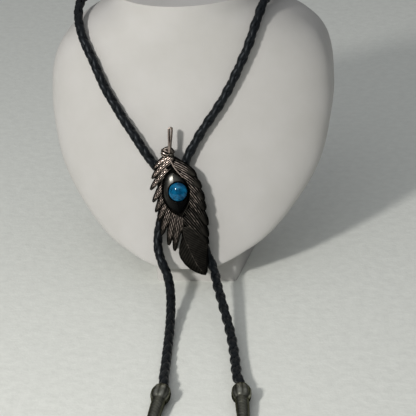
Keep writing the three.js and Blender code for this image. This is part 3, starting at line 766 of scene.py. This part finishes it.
def leaf_point(t, u):
    y = mix(LEAF_ROWS[0]["y"], LEAF_ROWS[-1]["y"], t)
    left, spine, right = (table_value(LEAF_ROWS, "y", y, name) for name in ("left", "spine", "right"))
    high = table_value(LEAF_ROWS, "y", y, "high")
    wall = min(u, 1 - u) / LEAF_WALL
    share = min(max((u - LEAF_WALL) / (1 - 2 * LEAF_WALL), 0), 1) * 2 - 1
    x = mix(spine, right, share) if share > 0 else mix(spine, left, -share)
    top = high * LEAF_HEIGHT
    ridge = (1 - abs(share)) ** 1.5
    level = top * mix(LEAF_EDGE, 1, 0.75 * (1 - abs(share) ** 2) + 0.25 * ridge)
    fade = smooth_step((1 - abs(share)) * 6) * smooth_step(abs(share) * 6) * smooth_step(t * 12)
    level += VEIN_HEIGHT * vein_share(x, y, spine) * fade
    level *= smooth_step(wall) if wall < 1 else 1
    level *= smooth_step((1 - t) * 40) * smooth_step(t * 60)
    return on_feather(x, -y, level)


def leaf_wear(x, y):
    """How much a place on the leaf is rubbed."""
    left, spine, right = (table_value(LEAF_ROWS, "y", y, name) for name in ("left", "spine", "right"))
    share = abs(x - spine) / max(right - spine if x > spine else spine - left, 0.01)
    return LEAF_RUB + VEIN_RUB * vein_share(x, y, spine) + LEAF_EDGE_RUB * (share > 0.93)


leaf = skin(casting, 130, 60, leaf_point)
for vert in leaf:
    vert[rub_and_light] = leaf_wear(vert.co.x / FEATHER_WIDTH, -vert.co.y / FEATHER_LENGTH)
closed(casting, leaf)
spine = [
    on_feather(x, y, LEAF_HEIGHT * table_value(LEAF_ROWS, "y", -y, "high"))
    for x, y in QUILL_POINTS[11:]
]
rod(casting, spine, lambda t: 0.3 - 0.08 * t, wear_and_shade=0.5)
print("with leaf", len(casting.faces), "faces")

# %% [markdown]
# ## The wrap
# At the top a cord of metal is knotted round the quill: a round knob on the left and turns that
# cross over. The knob is a ball with twisted grooves, and each turn is a short plain rod.

# %% Wrap
KNOB_PLACE = (-0.12, 0.303)
KNOB_RADIUS = 2.5
KNOB_GROOVES = 7
KNOB_TWIST = 5
KNOB_CUT = 0.09  # depth of a groove, as a share of the radius
KNOB_RUB = 0.9
WRAP_RADIUS = 1.15
WRAP_TURNS = [
    ((-0.2, 0.262), (-0.08, 0.285), (0.04, 0.275)),
    ((-0.22, 0.235), (-0.09, 0.258), (0.035, 0.245)),
    ((-0.2, 0.32), (-0.04, 0.335), (0.05, 0.29)),
]
knob_middle = on_feather(*KNOB_PLACE, KNOB_RADIUS)


def knob_point(t, u):
    tall, angle = pi * t, 2 * pi * u
    groove = 0.5 + 0.5 * cos(KNOB_GROOVES * angle + KNOB_TWIST * tall)
    radius = KNOB_RADIUS * (1 - KNOB_CUT * (1 - groove) * sin(tall) ** 0.5)
    ring = sin(tall)
    spoke = Vector((cos(tall), ring * cos(angle), ring * sin(angle)))
    return knob_middle + spoke * radius


knob = skin(casting, 30, 60, knob_point)
for vert in knob:
    crest = ((vert.co - knob_middle).length / KNOB_RADIUS - 0.92) / 0.07
    vert[rub_and_light] = KNOB_RUB * smooth_step(crest)
closed(casting, knob, 1e-5)
for turn in WRAP_TURNS:
    rod(casting, [on_feather(*p, PLATE_THICKNESS) for p in turn], lambda t: WRAP_RADIUS, wear_and_shade=0.5)

# %% [markdown]
# ## The hanging loop
# A thin strap is bent into a narrow arch and soldered behind the wrap, so that the slide can also be
# worn on a chain. Its outline is a long slot with a slot inside. The strap is swept along the arch
# as a flat section with rounded corners, a circle whose sides are pressed towards a rectangle.

# %% Hanging loop
LOOP_HEIGHT = 14
LOOP_WIDTH = 2.35
LOOP_STRAP = 0.85
LOOP_DEPTH = 3.6
LOOP_LEAN = math.radians(12.5)
LOOP_CORNER = 0.4  # below 1 the section is squarer than an ellipse
LOOP_RUB = 0.66
loop_foot = on_feather(-0.04, 0.3)
arch_half = (LOOP_WIDTH - LOOP_STRAP) / 2
leg_top = LOOP_HEIGHT - LOOP_WIDTH / 2
leg = [(0.42, 0), (0.45, 3), (0.6, 6), (0.9, 9), (1, leg_top)]
arch = [Vector((-arch_half * wide, y, 0)) for wide, y in leg]
arch += [
    Vector((-arch_half * cos(a), leg_top + arch_half * sin(a), 0))
    for a in (math.radians(d) for d in range(20, 180, 20))
]
arch += [Vector((arch_half * wide, y, 0)) for wide, y in reversed(leg)]
arch_path = Path(spline(arch, 6))


def strap_point(t, u):
    centre, tangent, side, other = arch_path.at(t * arch_path.length)
    out = tangent.cross(Vector((0, 0, 1))).normalized()
    angle = 2 * pi * u
    across, deep = cos(angle), sin(angle)
    across = math.copysign(abs(across) ** LOOP_CORNER, across) * LOOP_STRAP / 2
    deep = math.copysign(abs(deep) ** LOOP_CORNER, deep) * LOOP_DEPTH / 2
    return centre + out * across + Vector((0, 0, deep + LOOP_DEPTH / 2))


strap = skin(casting, 90, 20, strap_point)
for vert in strap:
    vert[rub_and_light] = LOOP_RUB
bmesh.ops.rotate(casting, verts=strap, cent=Vector(), matrix=Matrix.Rotation(-LOOP_LEAN, 3, "Z"))
bmesh.ops.translate(casting, verts=strap, vec=loop_foot)
closed(casting, strap)
piece(
    casting, "feather_casting", antique_pewter, ["feather_slide"],
    slide_place, crease=50,
)

# %% [markdown]
# ## The eye's setting
# In the eye sits a polished almond that rises to a soft dome, with a round seat sunk in it
# for the stone. Rings of the eye's outline that shrink and rise towards the middle give the
# dome; the seat is left by lowering the points under the stone.

# %% Eye setting
CLEARANCE = 0.3
SETTING_SHARE = 0.88  # of the eye's outline
SETTING_WALL = 0.08  # share of the way in
WALL_HEIGHT = 0.25  # as a share of the setting's height
DOME_POWER = 2.6
SETTING_HEIGHT = 2.7
STONE_RADIUS = 5.0
STONE_SEAT_DEPTH = 1.1
SEAT_PLAY = 0.55  # the dark ring round the stone
SEAT_SLOPE = 0.25  # width of the seat's wall
setting_base = PLATE_THICKNESS + CLEARANCE
stone_seat = setting_base + SETTING_HEIGHT - STONE_SEAT_DEPTH
setting_line = Path([*(p.copy() for p in eye_line), eye_line[0].copy()])


def setting_point(t, u):
    edge = setting_line.at(u * setting_line.length)[0] * SETTING_SHARE
    if t < SETTING_WALL:
        low = setting_base + WALL_HEIGHT * SETTING_HEIGHT * t / SETTING_WALL
        return eye_middle + edge + Vector((0, 0, low))
    share = (t - SETTING_WALL) / (1 - SETTING_WALL)
    flat = eye_middle + edge * (1 - share)
    rise = mix(WALL_HEIGHT, 1, math.sqrt(1 - (1 - share) ** DOME_POWER))
    level = setting_base + SETTING_HEIGHT * rise
    from_stone = math.hypot(flat.x, flat.y)
    seat = smooth_step((STONE_RADIUS + SEAT_PLAY + 0.12 - from_stone) / SEAT_SLOPE)
    return Vector((flat.x, flat.y, mix(level, min(level, stone_seat), seat)))


setting = bmesh.new()
dome_painted_light = rub_and_light_layer(setting)
dome = skin(setting, 110, 150, setting_point)
for vert in dome:
    # Painted light: the upper left is painted lighter and the lower right darker. The seat's wall round
    # the stone is made dark.
    high = (vert.co.y - eye_middle.y) / EYE_LENGTH - 0.6 * (vert.co.x - eye_middle.x) / EYE_WIDTH
    on_wall = math.hypot(vert.co.x, vert.co.y) < STONE_RADIUS + SEAT_PLAY + 0.1
    vert[dome_painted_light] = 0 if on_wall else smooth_step(0.45 + high)
closed(setting, dome)
piece(
    setting, "eye_dome", polished_pewter_painted_light, ["eye_setting"], slide_place, crease=50,
)

# %% [markdown]
# ## The stone
# Turquoise is a soft blue stone with paler clouds and darker flecks, cut as a round dome with a
# short straight girdle, and waxed to a polish. Its profile is half of a section, and the spin
# operator turns it once round.

# %% Turquoise stone
STONE_HEIGHT = 3.0
STONE_GIRDLE = 0.22  # share of the height that is straight
STONE_STEPS = 20  # from girdle to top
turquoise, tree, shader = material(
    "polished_turquoise", Metallic=0.0, IOR=1.6, Specular_IOR_Level=0.16,
)
clouds = grain(tree, 5.0, detail=5, roughness=0.6)
flecks = grain(tree, 1.6, detail=3, roughness=0.5)
ground = node(
    tree, "ShaderNodeMix",
    {6: ramp(tree, clouds, (0.36, "013a5a"), (0.5, "065a82"), (0.66, "1c7a9e")),
     7: ramp(tree, clouds, (0.3, "032c42"), (0.7, "064664"))},
    data_type="RGBA",
)
tree.links.new(scaled(tree, flecks, 0, 0.85, 0.55, 0.66), ground.inputs[0])
polish = scaled(tree, flecks, 0.06, 0.12, 0.4, 0.7)
feed(tree, shader, Base_Color=ground.outputs[2], Roughness=polish)

stone_base = stone_seat + CLEARANCE
cabochon = bmesh.new()
profile = [Vector((0, 0, 0)), Vector((STONE_RADIUS, 0, 0))]
for i in range(STONE_STEPS + 1):
    angle = pi / 2 * i / STONE_STEPS
    high = STONE_HEIGHT * mix(STONE_GIRDLE, 1, sin(angle))
    profile.append(Vector((STONE_RADIUS * cos(angle) if i < STONE_STEPS else 0, 0, high)))
corners = [cabochon.verts.new(p + Vector((0, 0, stone_base))) for p in profile]
edges = [cabochon.edges.new(pair) for pair in zip(corners, corners[1:])]
bmesh.ops.spin(
    cabochon, geom=corners + edges, cent=Vector(), axis=Vector((0, 0, 1)), angle=2 * pi,
    steps=72, use_merge=True,
)
bmesh.ops.remove_doubles(cabochon, verts=cabochon.verts, dist=1e-4)
piece(
    cabochon, "stone_cabochon", turquoise, ["turquoise_stone"], slide_place, crease=50,
)

# %% [markdown]
# ## The tips
# Each end of the cord is glued into a tip: a fluted ball and a tapering shaft, cast in one. The
# shaft carries a rope pattern. A grid wound round the tip's axis makes both; the flutes and the
# rope are in its radius. A matrix then stands it on the end of the cord.

# %% Tips
TIP_LENGTH = 46
TIP_SOCKET = 5
SOCKET_PLAY = 0.2
TIP_STEPS = 150
TIP_ROUND = 100
BALL_FLUTES = 8
FLUTE_DEPTH = 0.06  # as a share of the radius
ROPE_STRANDS = 5
ROPE_PITCH = 2.2
ROPE_DEPTH = 0.05
TIP_ROWS = table(
    "at radius flute rope",
    (0, 2.95, 0, 0), (0.9, 3.7, 0.3, 0), (2.5, 4.6, 1, 0), (4.5, 4.95, 1, 0), (6.8, 4.92, 1, 0),
    (8.6, 4.55, 1, 0), (9.8, 4, 0.8, 0), (10.7, 3.4, 0.2, 0), (11.2, 3.3, 0, 0), (12, 3.4, 0, 0.2),
    (13, 3.4, 0, 1), (30, 2.78, 0, 1), (44.2, 2.25, 0, 1), (45.3, 1.75, 0, 0.2), (46, 0.9, 0, 0),
)


def tip_surface(t, u):
    """A point of the tip's outer skin, and how much that place is rubbed, with painted shade on the
    side that faces the table.
    """
    at = t * TIP_LENGTH
    radius, fluted, roped = (table_value(TIP_ROWS, "at", at, k) for k in ("radius", "flute", "rope"))
    angle = 2 * pi * u
    flute = abs(sin(BALL_FLUTES / 2 * angle)) ** 0.7
    rope = 0.5 + 0.5 * cos(ROPE_STRANDS * angle + 2 * pi * at / ROPE_PITCH)
    size = radius * (1 - fluted * FLUTE_DEPTH * (1 - flute)) - ROPE_DEPTH * roped * (1 - rope)
    wear_and_shade = mix(0.45, 0.24 + 0.4 * flute, fluted) * (1 - roped) + roped * (0.42 + 0.12 * rope)
    # Painted shade: the side that faces the table is made darker.
    wear_and_shade *= mix(0.3, 1, smooth_step(0.35 + sin(angle)))
    return Vector((size * cos(angle), size * sin(angle), at)), wear_and_shade


def edges_near(bm, level):
    """The open edges at one level."""
    return [
        e for e in bm.edges if e.is_boundary and all(abs(v.co.z - level) < 0.01 for v in e.verts)
    ]


def cord_tip(name, end, before):
    axis = (Vector(end) - Vector(before)).normalized()
    tip = bmesh.new()
    wear_and_shade = rub_and_light_layer(tip)
    rubbed_and_shaded_skin(tip, wear_and_shade, TIP_STEPS, TIP_ROUND, tip_surface)
    bmesh.ops.remove_doubles(tip, verts=tip.verts, dist=MERGE_DISTANCE)
    for rim in (edges_near(tip, 0), edges_near(tip, TIP_LENGTH)):
        bmesh.ops.holes_fill(tip, edges=rim, sides=0)
    mouth = [f for f in tip.faces if len(f.verts) > 4 and f.calc_center_median().z < 1]
    rim_width = TIP_ROWS[0]["radius"] - CORD_DIAMETER / 2 - SOCKET_PLAY
    bmesh.ops.inset_region(tip, faces=mouth, thickness=rim_width)
    grown = bmesh.ops.extrude_face_region(tip, geom=mouth)
    sunk = [item for item in grown["geom"] if isinstance(item, bmesh.types.BMVert)]
    bmesh.ops.translate(tip, verts=sunk, vec=Vector((0, 0, TIP_SOCKET)))
    bmesh.ops.delete(tip, geom=mouth, context="FACES")
    turned = Vector((0, 0, 1)).rotation_difference(axis).to_matrix().to_4x4()
    place = Matrix.Translation(Vector(end) + axis * (CLEARANCE - TIP_SOCKET)) @ turned
    return piece(tip, name + "_metal", dark_pewter, [name], place, crease=50)


tips = [
    cord_tip("tip_left", CORD_ROUTE[0], CORD_ROUTE[1]),
    cord_tip("tip_right", CORD_ROUTE[-1], CORD_ROUTE[-2]),
]
[tuple(p * MM) for p in cord_path.points[::4]]

# %% [markdown]
# ## White plastic
# The stand is a thin shell of white plastic, moulded with a fine matt skin that is drawn coarser
# here. Its white is a light grey with a little yellow, hardly mottled, and its gloss is broad.

# %% White plastic
white_plastic, tree, shader = material(
    "moulded_white_plastic", Metallic=0.0, IOR=1.49, Specular_IOR_Level=0.35,
)
mottle = grain(tree, 18.0, detail=3)
fine = grain(tree, 0.9, detail=2)
white = ramp(tree, mottle, (0.3, "c3c1bd"), (0.7, "c9c7c4"))
feed(tree, shader, Base_Color=white, Roughness=scaled(tree, fine, 0.5, 0.62, 0.3, 0.7))
bump(tree, shader, fine, 0.02, 0.35)

# %% [markdown]
# ## The chest
# The chest swells to the shoulders and draws in to a short neck. Its level sections are known at a
# few heights: the half width, where front, side and back lie, and how square the back is. A grid
# that reads those sections smoothly has no facets.

# %% Bust
BUST_WIDTH = 158
BUST_HEIGHT = 139
BUST_DEPTH = 110
HEM_HEIGHT = 12
CHEST_OFFSET = -4
FOOT_DEPTH = 62
FOOT_WIDTH = 44.5
HEM_FRONT = -FOOT_DEPTH / 2 - 9
BUST_SECTIONS = table(
    "up half front side back square",
    (0, 0.18, 0, 0.01, 0.08, 2.4), (0.012, 0.24, 0.002, 0.02, 0.1, 2.4),
    (0.025, 0.3, 0.008, 0.033, 0.12, 2.4), (0.05, 0.4, 0.019, 0.067, 0.17, 2.4),
    (0.09, 0.535, 0.036, 0.12, 0.25, 2.4), (0.145, 0.655, 0.059, 0.185, 0.35, 2.4),
    (0.2, 0.745, 0.081, 0.242, 0.42, 2.4), (0.28, 0.856, 0.115, 0.328, 0.53, 2.5),
    (0.365, 0.931, 0.149, 0.395, 0.62, 2.8), (0.47, 0.977, 0.192, 0.461, 0.7, 3.6),
    (0.575, 1, 0.235, 0.52, 0.84, 5), (0.67, 0.993, 0.268, 0.555, 0.92, 5),
    (0.74, 0.967, 0.286, 0.586, 0.97, 5), (0.8, 0.915, 0.295, 0.614, 0.99, 4.5),
    (0.85, 0.83, 0.3, 0.627, 0.99, 4), (0.892, 0.735, 0.303, 0.636, 0.985, 3.2),
    (0.928, 0.632, 0.305, 0.645, 0.98, 2.6), (0.964, 0.545, 0.307, 0.645, 0.98, 2.2),
    (1, 0.51, 0.31, 0.645, 0.98, 2),
)


def bust_point(t, u):
    up = t**1.25
    half, front, side, back, square = (
        table_value(BUST_SECTIONS, "up", up, k) for k in ("half", "front", "side", "back", "square")
    )
    angle = 2 * pi * u
    across, along = cos(angle), sin(angle)
    power = 2 / (2 if along < 0 else square)
    reach = (front if along < 0 else back) - side
    x = half * BUST_WIDTH / 2 * math.copysign(abs(across) ** power, across)
    y = HEM_FRONT + (side + reach * abs(along) ** power) * BUST_DEPTH
    return Vector((CHEST_OFFSET + x, y, HEM_HEIGHT + up * BUST_HEIGHT))


bust = bmesh.new()
closed(bust, skin(bust, 110, 144, bust_point))
print("bust closed:", not any(edge.is_boundary for edge in bust.edges))

# %% [markdown]
# ## The foot
# The chest stands on a block with a sloping front and back, whose top end is hidden in the chest.
# A grid of four columns wound round four levels is enough for it, and the bevel operator rounds its
# upright edges.

# %% Foot
FOOT_EDGE_ROUND = 2.0
FOOT_ROWS = [
    # level, front, front half width, back, back half width
    (0, -0.5, 0.5, 0.5, 0.66), (6, -0.49, 0.5, 0.48, 0.647),
    (12.3, -0.44, 0.5, 0.36, 0.554), (42, -0.33, 0.4, 0.04, 0.4),
]
FOOT_TOP = FOOT_ROWS[-1][0]


def foot_point(t, u):
    k = min(int(t * 3), 2)
    low, high = FOOT_ROWS[k], FOOT_ROWS[k + 1]
    z, front, front_half, back, back_half = (mix(a, b, t * 3 - k) for a, b in zip(low, high))
    corner = round(u * 4) % 4
    x = (back_half, -back_half, -front_half, front_half)[corner] * FOOT_WIDTH
    return Vector((x, (back, back, front, front)[corner] * FOOT_DEPTH, z))


closed(bust, skin(bust, 3, 4, foot_point))
upright = [
    e for e in bust.edges
    if e.is_manifold and all(v.co.z < FOOT_TOP + 1 and len(v.link_edges) <= 4 for v in e.verts)
    and e.verts[0].co.z != e.verts[1].co.z and e.calc_face_angle(0) > 1 and e.calc_length() > 5
]
bmesh.ops.bevel(
    bust, geom=upright, offset=FOOT_EDGE_ROUND, offset_type="OFFSET", segments=3, profile=0.5,
    affect="EDGES", material=-1,
)
piece(bust, "bust_shell", white_plastic, ["neck_bust"], crease=45)

# %% [markdown]
# ## The clasp
# The clasp hides behind the slide, so the CAD block stays and only gets the casting's metal.

# %% Clasp
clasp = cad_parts["cord_clasp"]
clasp.data.materials.clear()
clasp.data.materials.append(dark_pewter)
print("clasp", len(clasp.data.polygons), "faces")

# %% [markdown]
# ## The floor
# The bust stands on a pale table top with a slight tooth. One large flat grid is enough, because the
# tooth is only bump and colour.

# %% Floor
paper, tree, shader = material("white_table", Metallic=0.0, IOR=1.45, Specular_IOR_Level=0.4)
tooth = grain(tree, 5.0, detail=5, roughness=0.62)
pale = ramp(tree, tooth, (0.3, "e4e6e0"), (0.7, "edefe9"))
feed(tree, shader, Base_Color=pale, Roughness=scaled(tree, tooth, 0.42, 0.62, 0.3, 0.7))
bump(tree, shader, tooth, 0.5, 0.7)
table_top = bmesh.new()
bmesh.ops.create_grid(table_top, x_segments=4, y_segments=4, size=6)
table_mesh = bpy.data.meshes.new("table_top")
table_top.to_mesh(table_mesh)
table_top.free()
table_mesh.materials.append(paper)
floor = added("table_top", table_mesh)
print("table top", round(floor.dimensions.x, 1), "m wide")

# %% [markdown]
# ## The light
# The main light stands at the front left, 31 degrees above the level, and is small enough for the cord
# to cast a shadow of its own on the chest. A wide weak light from above the camera lifts the shadows,
# and a room that is pale above and dark below gives the metal something to reflect. The colours are
# shown without the film-like curve, which would flatten black cord and white bust.

# %% Lights
bpy.context.scene.view_settings.view_transform = "Standard"
LIGHT_WAY = Vector((0.36, 0.78, -0.51)).normalized()  # the way the light goes
FILL_WAY = Vector((0.15, 0.65, -0.72)).normalized()
LIGHT_TARGET = Vector((0, 0, 0.07))


def area_light(name, way, distance, size, power, colour):
    data = bpy.data.lights.new(name, "AREA")
    data.shape = "DISK"
    data.size = size
    data.energy = power
    data.color = srgb(colour)[:3]
    lamp = added(name, data)
    lamp.location = LIGHT_TARGET - way * distance
    lamp.rotation_mode = "QUATERNION"
    lamp.rotation_quaternion = way.to_track_quat("-Z", "Y")
    print(name, "light", size, "m wide,", distance, "m away")


area_light("window", LIGHT_WAY, 0.95, 0.1, 5.2, "fffcf8")
area_light("fill", FILL_WAY, 1.8, 1.4, 4.4, "f4f8f4")
world = bpy.data.worlds.new("pale_room")
world.use_nodes = True
sky = world.node_tree
way_seen = node(sky, "ShaderNodeTexCoord").outputs["Generated"]
height = node(sky, "ShaderNodeSeparateXYZ", {"Vector": way_seen})
upward = scaled(sky, height.outputs["Z"], 0, 1, -1, 1)
shade = ramp(sky, upward, (0.35, "3a3b3d"), (0.55, "5b5d60"), (0.95, "f4f6fa"))
sky.links.new(shade, sky.nodes["Background"].inputs["Color"])
sky.nodes["Background"].inputs["Strength"].default_value = 0.43
bpy.context.scene.world = world
